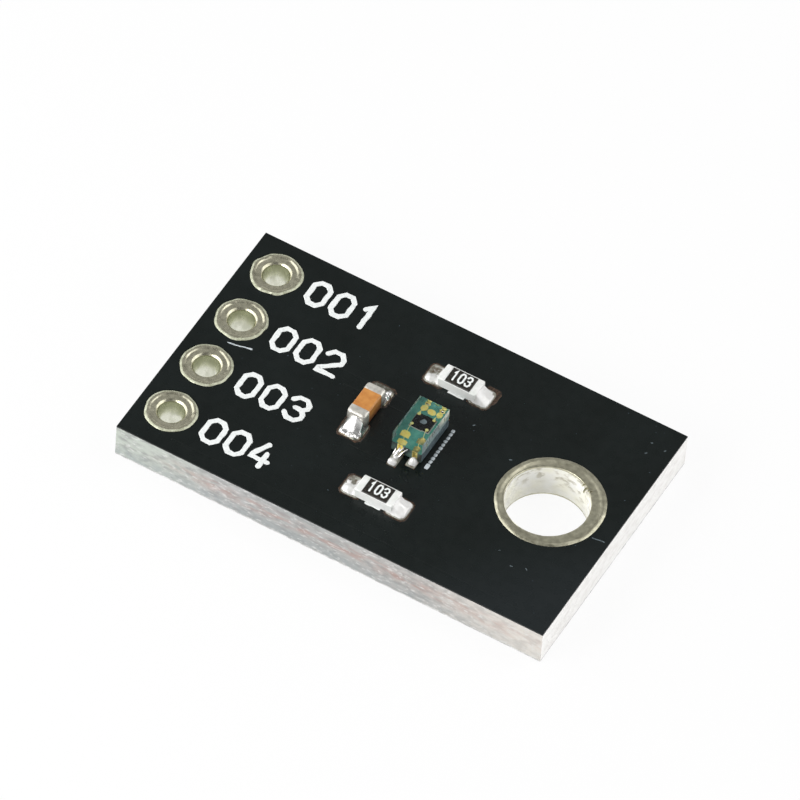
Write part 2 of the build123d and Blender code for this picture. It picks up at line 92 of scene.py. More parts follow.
class Graph:
    """The shader nodes of a material or of the world."""

    def __init__(self, owner):
        owner.use_nodes = True
        self.nodes = owner.node_tree.nodes
        self.links = owner.node_tree.links

    def feed(self, node, sources):
        """Gives each named input of a node a socket to follow, or a plain value."""
        for name, source in sources.items():
            if isinstance(source, bpy.types.NodeSocket):
                self.links.new(source, node.inputs[name])
            else:
                node.inputs[name].default_value = source

    def node(self, kind, sources, **settings):
        """A new node with its settings made and its inputs fed."""
        made = self.nodes.new(kind)
        for setting, value in settings.items():
            setattr(made, setting, value)
        self.feed(made, sources)
        return made

    def math(self, operation, first, second=0.0):
        """One arithmetic step."""
        return self.node("ShaderNodeMath", {0: first, 1: second}, operation=operation).outputs[0]

    def times(self, first, second):
        return self.math("MULTIPLY", first, second)

    def part(self, vector, axis):
        """A vector's value along one axis."""
        return self.node("ShaderNodeSeparateXYZ", {0: vector}).outputs[axis]

    def ramp(self, factor, stops):
        """Linear colours blended along factor, from (position, colour) stops."""
        made = self.node("ShaderNodeValToRGB", {0: factor})
        points = made.color_ramp.elements
        while len(points) < len(stops):
            points.new(0.5)
        for point, (position, colour) in zip(points, stops):
            point.position = position
            point.color = colour
        return made.outputs[0]


class Look(Graph):
    """A procedural material: one Principled shader fed by textures in millimetres. Its colours
    are written as they show on a screen, 0 to 255."""

    def __init__(self, name, fixed):
        self.material = bpy.data.materials.new(name)
        super().__init__(self.material)
        self.shader = self.nodes["Principled BSDF"]
        self.feed(self.shader, fixed)
        place = self.node("ShaderNodeTexCoord", {}).outputs["Object"]
        self.place = self.node("ShaderNodeVectorMath", {0: place, "Scale": 1 / MM},
                               operation="SCALE").outputs[0]

    def noise(self, scale, detail, stretch=(1, 1, 1), shift=(0, 0, 0)):
        """Noise with scale features in a millimetre, stretched along the axes."""
        factors = [scale * factor for factor in stretch]
        place = self.node("ShaderNodeVectorMath", {0: self.place, 1: factors, 2: shift},
                          operation="MULTIPLY_ADD").outputs[0]
        settings = {"Vector": place, "Scale": 1.0, "Detail": detail}
        return self.node("ShaderNodeTexNoise", settings).outputs[0]

    def along(self, axis):
        """The place along an axis, in millimetres."""
        return self.part(self.place, axis)

    def facing(self, axis):
        """How far the surface faces along an axis, from -1 to 1."""
        return self.part(self.node("ShaderNodeNewGeometry", {}).outputs["Normal"], axis)

    def span(self, value, low, high, first=0.0, last=1.0):
        """Value carried from low..high to first..last, and held there."""
        limits = dict(enumerate((value, low, high, first, last)))
        return self.node("ShaderNodeMapRange", limits, interpolation_type="SMOOTHSTEP").outputs[0]

    def distance_from(self, x, y):
        """Distance from the upright axis at x, y, in millimetres."""
        squares = []
        for axis, middle in (("X", x), ("Y", y)):
            offset = self.math("ABSOLUTE", self.math("SUBTRACT", self.along(axis), middle))
            squares.append(self.math("POWER", offset, 2.0))
        return self.math("SQRT", self.math("ADD", *squares))

    def tones(self, factor, *stops):
        """The ramp's colours, from 0 to 255."""
        return self.ramp(factor, [(position, tint(*colour)) for position, colour in stops])

    def mix(self, factor, first, second):
        """First colour at factor 0, second at 1."""
        sources = {0: factor}
        for number, colour in ((6, first), (7, second)):
            sources[number] = tint(*colour) if isinstance(colour, tuple) else colour
        return self.node("ShaderNodeMix", sources, data_type="RGBA").outputs[2]

    def gloss(self, texture, least, most):
        """Roughness that follows a noise from least to most."""
        return self.span(texture, 0.3, 0.7, least, most)

    def done(self, colour, roughness, height, depth):
        """The material, with height as its relief, of the given depth in millimetres."""
        bump = self.node("ShaderNodeBump", {"Distance": depth * MM, "Height": height})
        self.feed(self.shader, {"Base Color": colour, "Roughness": roughness,
                                "Normal": bump.outputs[0]})
        return self.material


def two_tone(name, fixed, light, dark, mottle, gloss, relief, foot=None):
    """A material of two tones. mottle is a noise's scale and detail and where the dark and the
    light tone begin on it, gloss a scale, a detail and two roughnesses, relief a scale, a detail
    and a depth, and foot a colour of painted shade and the heights over the face where it is
    full and gone: the tone darkens towards the board as if shaded there."""
    look = Look(name, fixed)
    scale, detail, dark_from, light_from = mottle
    tone = look.tones(look.noise(scale, detail), (dark_from, dark), (light_from, light))
    if foot:
        colour, full, gone = foot
        # Painted shade: the foot colour darkens the tone towards the board.
        tone = look.mix(look.span(look.along("Z"), FACE + full, FACE + gone), colour, tone)
    scale, detail, least, most = gloss
    roughness = look.gloss(look.noise(scale, detail), least, most)
    scale, detail, depth = relief
    return look.done(tone, roughness, look.noise(scale, detail), depth)


def make_mask(name, sawn_edge=False):
    """Black lacquer: satin, a little uneven, lighter towards the front right corner as a painted
    sheen, with a fine orange peel and a few dust specks. A sawn edge carries pale laminate dust."""
    look = Look(name, {"IOR": 1.38})
    tone = look.tones(look.noise(0.5, 4.0), (0.3, (7, 15, 13)), (0.7, (14, 22, 21)))
    # Painted sheen: the lacquer grows lighter towards the front right corner.
    sheen_toward_corner = look.math("SUBTRACT", look.along("X"), look.along("Y"))
    tone = look.mix(look.span(sheen_toward_corner, 7.5, 12.5, 0.0, 0.8), tone, (28, 34, 36))
    tone = look.mix(look.span(look.noise(8.0, 1.0), 0.78, 0.84), tone, (70, 82, 92))
    if sawn_edge:
        dust = look.tones(look.noise(3.0, 4.0), (0.35, (176, 176, 174)), (0.65, (226, 226, 224)))
        level = look.span(look.math("ABSOLUTE", look.facing("Z")), 0.3, 0.7)
        tone = look.mix(level, dust, tone)
    roughness = look.gloss(look.noise(2.5, 3.0, shift=(7, 3, 1)), 0.24, 0.36)
    return look.done(tone, roughness, look.noise(7.0, 3.0), 0.002)


def make_tin(name, light, dark, rough, relief):
    """Hot tin finish: a satin metal skin with soft unevenness."""
    look = Look(name, {"Metallic": 1.0})
    tone = look.tones(look.noise(5.0, 5.0), (0.32, dark), (0.68, light))
    roughness = look.gloss(look.noise(9.0, 2.0, shift=(4, 4, 4)), *rough)
    return look.done(tone, roughness, look.noise(9.0, 3.0), relief)


def make_barrel():
    """The inside of a plated hole: olive near the mouth, cream lower down. The cream depths are painted
    light, as if the floor lit the hole from below.
    """
    look = Look("barrel_tin", {"Metallic": 0.8})
    depth = look.span(look.along("Z"), FACE - 0.95, FACE - 0.3)
    streaks = look.noise(4.0, 3.0, stretch=(1, 1, 0.5))
    # Painted light: the wall is paler the deeper it lies, as if lit from below.
    tone = look.tones(depth, (0.0, (244, 245, 230)), (0.5, (208, 210, 184)), (1.0, (174, 177, 148)))
    tone = look.mix(look.span(streaks, 0.4, 0.75, 0.0, 0.35), tone, (150, 152, 120))
    return look.done(tone, look.gloss(streaks, 0.22, 0.36), streaks, 0.004)


def sawn_plies(look, speckle):
    """The board's sawn edge: pale plies with grey speckle, rust, a grey foot and bright fibres. The
    side facing +X is painted near white: painted light.
    """
    x, z = look.along("X"), look.along("Z")
    run = look.tones(look.span(x, BOARD_LOW.x, BOARD_HIGH.x), (0.0, (186, 193, 184)),
                     (0.14, (179, 179, 178)), (0.4, (168, 170, 169)), (0.8, (181, 178, 175)),
                     (1.0, (217, 212, 205)))
    share = look.times(look.span(speckle, 0.40, 0.68, 0.0, 0.7), look.span(x, 2.0, 8.0, 1.0, 0.4))
    run = look.mix(share, run, (144, 145, 144))
    rust = look.noise(2.6, 5.0, stretch=(0.5, 0.5, 1.6), shift=(3, -7.02, 8))
    band = look.span(look.math("ABSOLUTE", look.math("SUBTRACT", z, 0.9)), 0.06, 0.5, 1.0, 0.0)
    rust = look.times(look.span(rust, 0.38, 0.66), band)
    rust = look.times(rust, look.span(x, -7.8, -5.2, 0.0, 0.62))
    rust = look.times(rust, look.span(x, 6.0, 9.0, 1.0, 0.4))
    run = look.mix(rust, run, (176, 144, 134))
    foot = look.noise(5.0, 4.0, stretch=(0.6, 0.6, 1), shift=(5, -8.8, 2))
    foot = look.times(look.span(z, 0.2, 0.75, 1.0, 0.0), look.span(foot, 0.3, 0.65, 0.1, 0.6))
    foot = look.times(foot, look.span(x, 3.0, 8.2, 1.0, 0.25))
    run = look.mix(foot, run, (152, 159, 161))
    fibres = look.noise(9.0, 3.0, stretch=(0.5, 0.5, 1.3), shift=(1, -20.3, 6))
    run = look.mix(look.times(look.span(fibres, 0.54, 0.7), 0.6), run, (218, 218, 216))
    # Painted light: the side facing +X is painted near white, as if in full light.
    painted_lit_side = look.tones(speckle, (0.4, (251, 250, 248)), (0.7, (238, 236, 233)))
    return look.mix(look.span(look.facing("X"), 0.4, 0.8), run, painted_lit_side)


def drilled_wall(look):
    """The chalky wall of the mounting hole, cracked near its top."""
    chalk = look.tones(look.noise(1.4, 2.0, shift=(2, 9, 4)), (0.35, (254, 254, 252)),
                       (0.62, (252, 251, 240)))
    height = look.math("ADD", look.along("Z"), look.times(look.along("X"), 0.25))
    cracks = look.span(look.noise(2.6, 5.0, stretch=(1, 1, 1.7)), 0.48, 0.66, 0.0, 0.7)
    cracks = look.times(cracks, look.span(height, 1.7, 2.5, 0.05, 1.0))
    return look.mix(cracks, chalk, (178, 172, 152))


def make_laminate():
    """Glass-fibre sheet, sawn at its edge and drilled for the screw."""
    look = Look("laminate", {"IOR": 1.4})
    speckle = look.noise(4.4, 5.0, stretch=(0.55, 0.55, 1.2), shift=(0, -10.69, 0))
    near_hole = look.span(look.distance_from(*HOLE_CENTRE), HOLE_RADIUS + 0.02,
                          HOLE_RADIUS + 0.1, 1.0, 0.0)
    tone = look.mix(near_hole, sawn_plies(look, speckle), drilled_wall(look))
    return look.done(tone, look.gloss(speckle, 0.55, 0.8),
                     look.noise(5.0, 5.0, stretch=(1, 1, 2)), 0.02)


def make_solder(name, metallic):
    """Reflowed solder: bright and wet-looking where it stands up, dull under flux where it
    lies thin."""
    look = Look(name, {"Metallic": metallic})
    grain = look.noise(8.0, 4.0)
    bright = look.tones(grain, (0.3, (240, 239, 236)), (0.7, (252, 252, 251)))
    stain = look.tones(look.noise(4.0, 4.0, shift=(1, 6, 2)), (0.35, (92, 78, 62)),
                       (0.65, (160, 162, 150)))
    edge = look.math("ADD", look.along("Z"), look.span(grain, 0.3, 0.7, -0.015, 0.015))
    thin = look.span(edge, FACE + 0.035, FACE + 0.07, 1.0, 0.0)
    roughness = look.math("ADD", look.span(grain, 0.35, 0.7, 0.16, 0.26), look.times(thin, 0.14))
    return look.done(look.mix(thin, bright, stain), roughness, look.noise(6.0, 2.0), 0.002)


def make_terminal(name, light, dark, metallic, foot=None):
    """Plated chip ends: satin tin, softly uneven, with painted shade darkening the foot where one is
    given.
    """
    return two_tone(name, {"Metallic": metallic}, light, dark, (4.0, 4.0, 0.34, 0.64),
                    (7.0, 3.0, 0.28, 0.42), (9.0, 3.0, 0.003), foot)


def make_ceramic(name, light, dark, rough, foot=None):
    """Fired ceramic: matte, faintly mottled, with painted shade darkening the foot where one is given.
    """
    return two_tone(name, {"IOR": 1.5}, light, dark, (4.5, 5.0, 0.3, 0.7),
                    (14.0, 2.0, *rough), (26.0, 3.0, 0.003), foot)


def make_ink(name, light, dark):
    """Printed ink: matte, slightly grainy."""
    return two_tone(name, {"IOR": 1.45}, light, dark, (11.0, 4.0, 0.28, 0.5),
                    (20.0, 2.0, 0.5, 0.7), (18.0, 3.0, 0.003))


def make_sensor_board():
    """Teal board under the clear resin, with paler sawn sides. The side facing -X is painted lighter
    and the side facing -Y darker: painted light and shade.
    """
    look = Look("sensor_board", {"IOR": 1.45})
    teal = look.tones(look.noise(5.0, 4.0), (0.3, (66, 142, 130)), (0.7, (98, 178, 162)))
    sides = look.tones(look.noise(6.0, 4.0, stretch=(1, 1, 0.5)), (0.3, (44, 52, 58)),
                       (0.5, (78, 92, 98)), (0.7, (112, 128, 134)))
    front = look.tones(look.noise(5.0, 3.0), (0.35, (44, 46, 46)), (0.65, (84, 108, 102)))
    # Painted light and shade: the side facing -X is painted lighter, the side facing -Y darker.
    sides = look.mix(look.span(look.facing("X"), -0.8, -0.4, 1.0, 0.0), sides, (112, 176, 164))
    sides = look.mix(look.span(look.facing("Y"), -0.8, -0.4, 1.0, 0.0), sides, front)
    tone = look.mix(look.span(look.facing("Z"), 0.3, 0.7), sides, teal)
    return look.done(tone, look.gloss(look.noise(9.0, 2.0), 0.35, 0.55),
                     look.noise(10.0, 3.0), 0.004)


def make_resin():
    """Clear casting resin: polished on top, and on its right side scuffed by the saw."""
    look = Look("clear_resin", {"IOR": 1.46})
    clear = look.tones(look.noise(3.0, 3.0), (0.3, (234, 246, 244)), (0.7, (250, 253, 252)))
    marks = look.noise(6.0, 4.0, stretch=(1, 1, 0.35), shift=(0, 3, 0))
    scuffs = look.tones(marks, (0.3, (52, 68, 74)), (0.5, (98, 122, 126)), (0.66, (186, 198, 204)))
    paler = look.times(look.span(look.along("Y"), 0.1, 0.8),
                       look.span(look.along("Z"), SENSOR_HIGH.z - 0.5, SENSOR_HIGH.z - 0.1))
    scuffs = look.mix(paler, scuffs, (240, 238, 224))
    sawn = look.times(look.span(look.facing("X"), 0.75, 0.95),
                      look.span(marks, 0.36, 0.6, 0.55, 0.95))
    look.feed(look.shader, {"Transmission Weight": look.span(sawn, 0.0, 1.0, 1.0, 0.12)})
    upward = look.span(look.facing("Z"), 0.4, 0.8, 0.1, 0.01)
    roughness = look.math("ADD", upward, look.times(sawn, 0.25))
    return look.done(look.mix(sawn, clear, scuffs), roughness,
                     look.noise(5.0, 2.0, stretch=(1, 1, 0.25)), 0.0002)


def make_gold(name, light, dark, metallic=0.0):
    """Gold plating over rolled copper, or the bare copper."""
    return two_tone(name, {"Metallic": metallic}, light, dark, (9.0, 4.0, 0.35, 0.65),
                    (14.0, 2.0, 0.3, 0.46), (14.0, 3.0, 0.002))


FLOOR_GREY = 0.94
FLOOR_WHITE_SHARE = 0.9


def make_floor():
    """A white sheet. The camera, metal and clear resin see it as white, less its shadow."""
    material = bpy.data.materials.new("floor_sheet")
    graph = Graph(material)
    graph.nodes.clear()
    sheet = graph.node("ShaderNodeBsdfDiffuse", {"Color": (FLOOR_GREY, FLOOR_GREY, FLOOR_GREY, 1)})
    glow = graph.node("ShaderNodeEmission", {"Strength": 1.0})
    rays = graph.node("ShaderNodeLightPath", {}).outputs
    shown = graph.math("MAXIMUM", rays["Is Camera Ray"], rays["Is Glossy Ray"])
    shown = graph.math("MAXIMUM", shown, rays["Is Transmission Ray"])
    share = graph.times(shown, FLOOR_WHITE_SHARE)
    blend = graph.node("ShaderNodeMixShader", {0: share, 1: sheet.outputs[0], 2: glow.outputs[0]})
    graph.node("ShaderNodeOutputMaterial", {0: blend.outputs[0]})
    return material


MASK = make_mask("solder_mask")
UNDER_MASK = make_mask("under_mask", sawn_edge=True)
PAD_TIN = make_tin("pad_tin", (226, 223, 198), (190, 187, 164), (0.22, 0.34), 0.0015)
RING_TIN = make_tin("ring_tin", (208, 205, 182), (174, 171, 149), (0.3, 0.44), 0.003)
BARREL = make_barrel()
# The pale, greenish outer edge of a pin pad
PAD_EDGE = two_tone("pad_edge", {"IOR": 1.5, "Metallic": 0.3}, (222, 224, 200), (172, 175, 148),
                    (7.0, 4.0, 0.3, 0.7), (9.0, 2.0, 0.35, 0.5), (14.0, 3.0, 0.003))
LAMINATE = make_laminate()
SOLDER = make_solder("solder", 0.9)
# Painted reflection: solder made nearly matte, so its pale colour shows all over as the white glare of
# shiny solder.
WHITE_GLARE_SOLDER = make_solder("white_glare_solder", 0.12)
# Flux residue: a thin brown film
FLUX = two_tone("flux", {"IOR": 1.5}, (92, 70, 54), (46, 37, 31), (10.0, 3.0, 0.35, 0.7),
                (6.0, 2.0, 0.12, 0.3), (14.0, 2.0, 0.003))
# The capacitor's ends darken towards the board: painted shade.
CAPACITOR_END = make_terminal("capacitor_end", (240, 237, 228), (204, 201, 192), 0.6,
                              foot=((112, 110, 106), 0.1, 0.6))
RESISTOR_END = make_terminal("resistor_end", (255, 255, 253), (240, 243, 238), 0.1)
# The brown body darkens towards the board: painted shade.
BROWN_CERAMIC = make_ceramic("brown_ceramic", (216, 152, 80), (196, 126, 60), (0.32, 0.46),
                             foot=((112, 62, 34), 0.05, 0.68))
WHITE_CERAMIC = make_ceramic("white_ceramic", (254, 255, 253), (246, 250, 246), (0.4, 0.55))
# Black glass coat, glossy with a slow ripple
OVERCOAT = two_tone("overcoat", {"IOR": 1.5}, (46, 43, 36), (30, 28, 24), (6.0, 3.0, 0.3, 0.7),
                    (10.0, 2.0, 0.16, 0.3), (4.0, 2.0, 0.004))
INK = make_ink("white_ink", (246, 249, 248), (226, 232, 230))
GREY_INK = make_ink("grey_ink", (204, 212, 216), (156, 166, 172))
WORN_INK = make_ink("worn_ink", (124, 134, 140), (84, 94, 100))
FAINT_INK = make_ink("faint_ink", (104, 116, 122), (58, 66, 70))
SENSOR_BOARD = make_sensor_board()
RESIN = make_resin()
# Polished dark silicon
SILICON = two_tone("silicon", {"IOR": 1.2}, (9, 12, 15), (3, 4, 6), (9.0, 3.0, 0.3, 0.7),
                   (12.0, 2.0, 0.2, 0.32), (8.0, 2.0, 0.001))
DIE_WINDOW = make_ceramic("die_window", (138, 152, 160), (96, 108, 116), (0.3, 0.4))
ADHESIVE = make_ceramic("die_adhesive", (226, 224, 216), (160, 158, 150), (0.35, 0.5))
GOLD = make_gold("gold", (255, 242, 150), (255, 226, 104))
# A lighter copy of the gold for the bond wires: painted light, standing in for the balls' bright
# glints.
LIT_BOND_GOLD = make_gold("lit_bond_gold", (255, 248, 176), (255, 236, 128))
DULL_GOLD = make_gold("dull_gold", (232, 206, 120), (112, 124, 84))
COPPER = make_gold("copper", (214, 150, 112), (180, 112, 78), metallic=1.0)


# Mesh tools

def turns(count):
    """Angles once round, evenly spaced."""
    return [math.tau * step / count for step in range(count)]


def add_object(name, data):
    """A new object in the scene."""
    made = bpy.data.objects.new(name, data)
    bpy.context.scene.collection.objects.link(made)
    return made


def finish_piece(name, build, materials, replaces=(), sharp=40):
    """Turns a mesh built in millimetres into a piece that rides on the board. Edges that turn
    by more than sharp degrees stay sharp."""
    bmesh.ops.remove_doubles(build, verts=build.verts, dist=0.0002)
    bmesh.ops.recalc_face_normals(build, faces=build.faces)
    bmesh.ops.transform(build, matrix=Matrix.Scale(MM, 4), verts=build.verts)
    mesh = bpy.data.meshes.new(name)
    for face in build.faces:
        face.smooth = True
    build.to_mesh(mesh)
    build.free()
    mesh.set_sharp_from_angle(angle=math.radians(sharp))
    for material in materials:
        mesh.materials.append(material)
    piece = add_object(name, mesh)
    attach(piece, "root")
    if replaces:
        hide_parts(*replaces)


def add_loops(build, loops, capped=(0, -1), stretches=None):
    """Joins rings of points, one after another, into a skin, and closes the capped ones. stretches
    gives the material of each stretch between two rings."""
    rings = [[build.verts.new(point) for point in loop] for loop in loops]
    count = len(rings[0])
    for index, (first, second) in enumerate(zip(rings, rings[1:])):
        for i in range(count):
            j = (i + 1) % count
            face = build.faces.new((first[i], first[j], second[j], second[i]))
            face.material_index = stretches[index] if stretches else 0
    for end in capped:
        build.faces.new(rings[end])


def add_turned_skin(build, x, y, z, profile, count, capped=(0, -1)):
    """A round skin about an upright axis, through (radius, height over z) steps."""
    add_loops(build, [[(x + radius * math.cos(turn), y + radius * math.sin(turn), z + height)
                       for turn in turns(count)] for radius, height in profile], capped)


def add_closed_skin(build, columns, stretches=None):
    """Joins the upright sections of a skin, which follow one another once round."""
    loops = list(zip(*columns))
    add_loops(build, loops + loops[:1], (), stretches)


RIBBON_STEP = 0.09
ROUND_END_ANGLES = (80, 58, 36, 14)


def ribbon(build, path, width, low, high, closed=False, wobble=0.0, bevel=0.02, seed=0.0,
           end_angles=ROUND_END_ANGLES):
    """A flat-topped stroke with sloping sides along a path of x, y points."""
    points = [Vector(point) for point in path]
    ways = [(after - point).normalized() for point, after in zip(points, points[1:] + points[:1])]
    if not closed:
        ways[-1] = ways[-2]
    sides = []
    for i, way in enumerate(ways):
        before = ways[i - 1] if closed or i else way
        mean = (before + way).normalized()
        side = Vector((-mean.y, mean.x))
        sides.append(side / max(side.dot(Vector((-before.y, before.x))), 0.35))
    half = width / 2
    stops = list(zip(points, sides))
    if closed:
        stops.append(stops[0])
    stations = []
    for (point, side), (after, side_after) in zip(stops, stops[1:]):
        pieces = max(1, round((after - point).length / RIBBON_STEP))
        for share in (k / pieces for k in range(pieces)):
            stations.append((point.lerp(after, share), side.lerp(side_after, share), half))
    if not closed:
        stations.append((points[-1], sides[-1], half))
        for angle in reversed(end_angles):
            turn = math.radians(angle)
            reach, narrow = half * math.sin(turn), half * math.cos(turn)
            stations.insert(0, (points[0] - ways[0] * reach, sides[0], narrow))
            stations.append((points[-1] + ways[-1] * reach, sides[-1], narrow))
    loops = []
    for point, side, reach in stations:
        left = reach + wobble * noise.noise(Vector((point.x * 4, point.y * 4, seed)))
        right = reach + wobble * noise.noise(Vector((point.x * 4, point.y * 4, seed + 9)))
        top_left, top_right = max(left - bevel, left * 0.5), max(right - bevel, right * 0.5)
        loops.append([(*(point + side * left), low), (*(point + side * top_left), high),
                      (*(point - side * top_right), high), (*(point - side * right), low)])
    if closed:
        loops.append(loops[0])
    add_loops(build, loops, () if closed else (0, -1))


def tube(build, path, radii, sides=10):
    """A round tube through a path of x, y, z points, with a radius at each."""
    points = [Vector(point) for point in path]
    loops = []
    for i, (point, radius) in enumerate(zip(points, radii)):
        along = (points[min(i + 1, len(points) - 1)] - points[max(i - 1, 0)]).normalized()
        side = along.orthogonal() if i == 0 else side - along * side.dot(along)
        side.normalize()
        other = along.cross(side)
        loops.append([point + radius * (math.cos(turn) * side + math.sin(turn) * other)
                      for turn in turns(sides)])
    add_loops(build, loops)


def gaussian(x, y, place_x, place_y, radius):
    """A smooth hump of height 1."""
    return math.exp(-((x - place_x) ** 2 + (y - place_y) ** 2) / radius ** 2)


def dome(x, y, place_x, place_y, radius):
    """A round-shouldered hump of height 1, with a clear edge."""
    return max(0.0, 1 - ((x - place_x) ** 2 + (y - place_y) ** 2) / radius ** 2) ** 0.6


def eased(value, low, high):
    """0 below low, 1 above high, smooth between."""
    share = min(1.0, max(0.0, (value - low) / (high - low)))
    return share * share * (3 - 2 * share)


# Board: the CAD's lacquer and laminate stay, with faint ridges where the tracks run under it

TRACK_RIDGES = [
    ([(-6.65, 1.30), (-0.45, 1.30)], 0.1),
    ([(-2.9, 0.75), (-2.25, 0.75)], 0.08),
    ([(-1.05, 0.75), (-0.2, 0.75)], 0.08),
    ([(-1.35, -1.6), (0.2, -1.6)], 0.08),
    ([(-6.9, -4.85), (8.75, -4.85)], 0.1),
]
TRACK_RIDGE_HEIGHT = 0.008


def add_ridges():
    """Low ridges in the lacquer along the edges of the tracks below."""
    build = bmesh.new()
    for path, width in TRACK_RIDGES:
        ribbon(build, path, width, FACE - 0.001, FACE + TRACK_RIDGE_HEIGHT, bevel=0.42 * width,
               wobble=0.006)
    finish_piece("track_ridges", build, [MASK])


VIAS = [(2.75, 1.95), (2.75, -1.85), (-0.445, -1.635)]
VIA_PROFILE = [(0.3, -0.001), (0.26, 0.003), (0.2, 0.0045), (0.13, 0.003), (0.05, 0.001)]


def add_vias():
    """Shallow humps in the lacquer over the plugged vias."""
    build = bmesh.new()
    for x, y in VIAS:
        add_turned_skin(build, x, y, FACE, VIA_PROFILE, 40, capped=(-1,))
    finish_piece("via_humps", build, [MASK])


# Pin pads: one turned skin each, with an uneven outer rim

PAD_STEPS = 144
PAD_HOLE = 0.5
PAD_RADIUS = 1.0
PAD_RIM_HEIGHT = 0.045
PAD_UNEVENNESS = 0.028
PAD_RIM_START = 0.77
RIM_POINTS = 9
PAD_FLAT = 0.008
# The skin inside the rim and its hidden back: distance out from the hole, height above the face
PAD_WALL = [(0, -1.54), (0, -1.2), (0, -0.8), (0, -0.4), (0, -0.12), (0.004, -0.072), (0.018, -0.05),
            (0.07, 0.002), (0.09, 0.011), (0.11, 0.012), (0.13, 0.011), (0.19, 0.008), (0.24, 0.008)]
PAD_BACK = [(0.48, -0.06), (0.02, -0.06), (0.02, -1.53), (0.5, -1.53), (0.5, -1.6), (0.02, -1.6),
            (0, -1.58)]
# For each pad: small beads on the rim, as angle in degrees, radius, size and height
PAD_BEADS = {
    "ground": [(262, 0.93, 0.05, 0.05), (290, 0.95, 0.05, 0.05), (4, 0.97, 0.07, 0.03),
               (328, 0.9, 0.06, 0.02)],
    "supply": [(358, 0.93, 0.05, 0.03), (2, 1.0, 0.06, 0.04), (300, 0.93, 0.05, 0.04),
               (330, 0.88, 0.05, 0.02)],
    "clock": [(5, 0.72, 0.06, 0.025), (352, 1.0, 0.06, 0.03), (318, 0.97, 0.07, 0.02)],
    "data": [(20, 0.92, 0.06, 0.02), (200, 0.97, 0.05, 0.02)],
}


def pad_section(angle, seed, beads):
    """The closed outline of a pad's wall at one angle, as (radius, height above the face)."""
    spot = Vector((2.2 * math.cos(angle), 2.2 * math.sin(angle), seed))
    edge = PAD_RADIUS + PAD_UNEVENNESS * noise.noise(spot) * 2 - 0.01
    crest = PAD_RIM_HEIGHT * (1 + 0.35 * noise.noise(spot * 1.7))
    rim_start = PAD_RIM_START + 0.02 * noise.noise(spot * 1.3)
    section = [(PAD_HOLE + out, height) for out, height in PAD_WALL]
    for k in range(RIM_POINTS):
        share = k / (RIM_POINTS - 1)
        height = PAD_FLAT + (crest - PAD_FLAT) * math.sin(math.pi * min(1.0, share * 1.04)) ** 0.75
        section.append((rim_start + (edge - rim_start) * share, height if share < 1 else -0.004))
    shaped = []
    for radius, height in section:
        if radius > PAD_HOLE + 0.1:
            for bead_angle, bead_radius, size, lift in beads:
                turned = (angle - math.radians(bead_angle) + math.pi) % math.tau - math.pi
                off = math.hypot(turned * radius, radius - bead_radius)
                height += lift * math.exp(-(off / size) ** 2)
        shaped.append((radius, height))
    return shaped + [(PAD_HOLE + out, height) for out, height in PAD_BACK]


# The material of each stretch of the outline: tin 0, barrel 1, edge 2
PAD_STRETCHES = [1] * 5 + [0] * 13 + [2] * 3 + [0] * 8


def add_pin_pad(pin, seed):
    middle = node_middle(pin + "_pin_pad")
    columns = []
    for turn in turns(PAD_STEPS):
        columns.append([(middle.x + radius * math.cos(turn), middle.y + radius * math.sin(turn),
                         FACE + height) for radius, height in pad_section(turn, seed, PAD_BEADS[pin])])
    build = bmesh.new()
    add_closed_skin(build, columns, PAD_STRETCHES)
    finish_piece(pin + "_pad_skin", build, [PAD_TIN, BARREL, PAD_EDGE],
                 [pin + "_pin_pad"])


# Mounting ring: inner edge round the drilled hole, outer edge round the ring's own centre

RING_RADIUS = 2.065
RING_RIM = 0.32
RING_RIM_HEIGHT = 0.042
RING_FLAT = 0.006
RING_FOOT = -0.065
RING_STEPS = 220


def add_mounting_ring():
    centre = node_middle("mounting_ring_top").xy
    columns = []
    for turn in turns(RING_STEPS):
        out = Vector((math.cos(turn), math.sin(turn)))
        spot = Vector((out.x * 2.5, out.y * 2.5, 3.7))
        edge = RING_RADIUS + 0.03 * noise.noise(spot) + 0.012 * noise.noise(spot * 4)
        crest = RING_RIM_HEIGHT * (1 + 0.4 * noise.noise(spot * 2))
        inner = HOLE_CENTRE + out * (HOLE_RADIUS + 0.012 * max(0.0, noise.noise(spot * 5)))
        outer = centre + out * edge
        rim_start = centre + out * (edge - RING_RIM)
        column = [(inner, RING_FOOT), (inner, 0.0), (inner + out * 0.012, 0.012)]
        for share in (0.25, 0.5, 0.75):
            grain = 0.004 * noise.noise(spot * 3 + Vector((share, 0, 0)))
            column.append((inner.lerp(rim_start, share), RING_FLAT + grain))
        for k in range(RIM_POINTS):
            share = k / (RIM_POINTS - 1)
            height = RING_FLAT + crest * math.sin(math.pi * share ** 1.25) ** 1.3
            column.append((rim_start.lerp(outer, share), height if share < 1 else -0.004))
        column.append((outer, RING_FOOT))
        columns.append([(*place, FACE + height) for place, height in column])
    build = bmesh.new()
    add_closed_skin(build, columns)
    finish_piece("mounting_ring_skin", build, [RING_TIN], ["mounting_ring_top"])


# Torn slivers the drill left: path, width and height above the face
RING_BURRS = [
    ([(7.02, 1.31), (6.97, 1.22), (6.99, 1.10)], 0.07, 0.07),
    ([(6.86, 1.44), (6.80, 1.33)], 0.05, 0.06),
    ([(7.10, 1.20), (7.22, 1.27)], 0.05, 0.05),
    ([(5.46, 1.86), (5.56, 1.79), (5.66, 1.75)], 0.035, 0.03),
    ([(4.26, 0.34), (4.36, 0.24)], 0.06, 0.045),
    ([(4.39, 0.86), (4.52, 0.8)], 0.05, 0.03),
]


def add_burrs():
    build = bmesh.new()
    for path, width, height in RING_BURRS:
        ribbon(build, path, width, FACE - 0.01, FACE + height, bevel=0.4 * width, wobble=0.04)
    finish_piece("ring_burrs", build, [RING_TIN])


# Printing: three-figure numbers beside the pads, in the board's stroke lettering

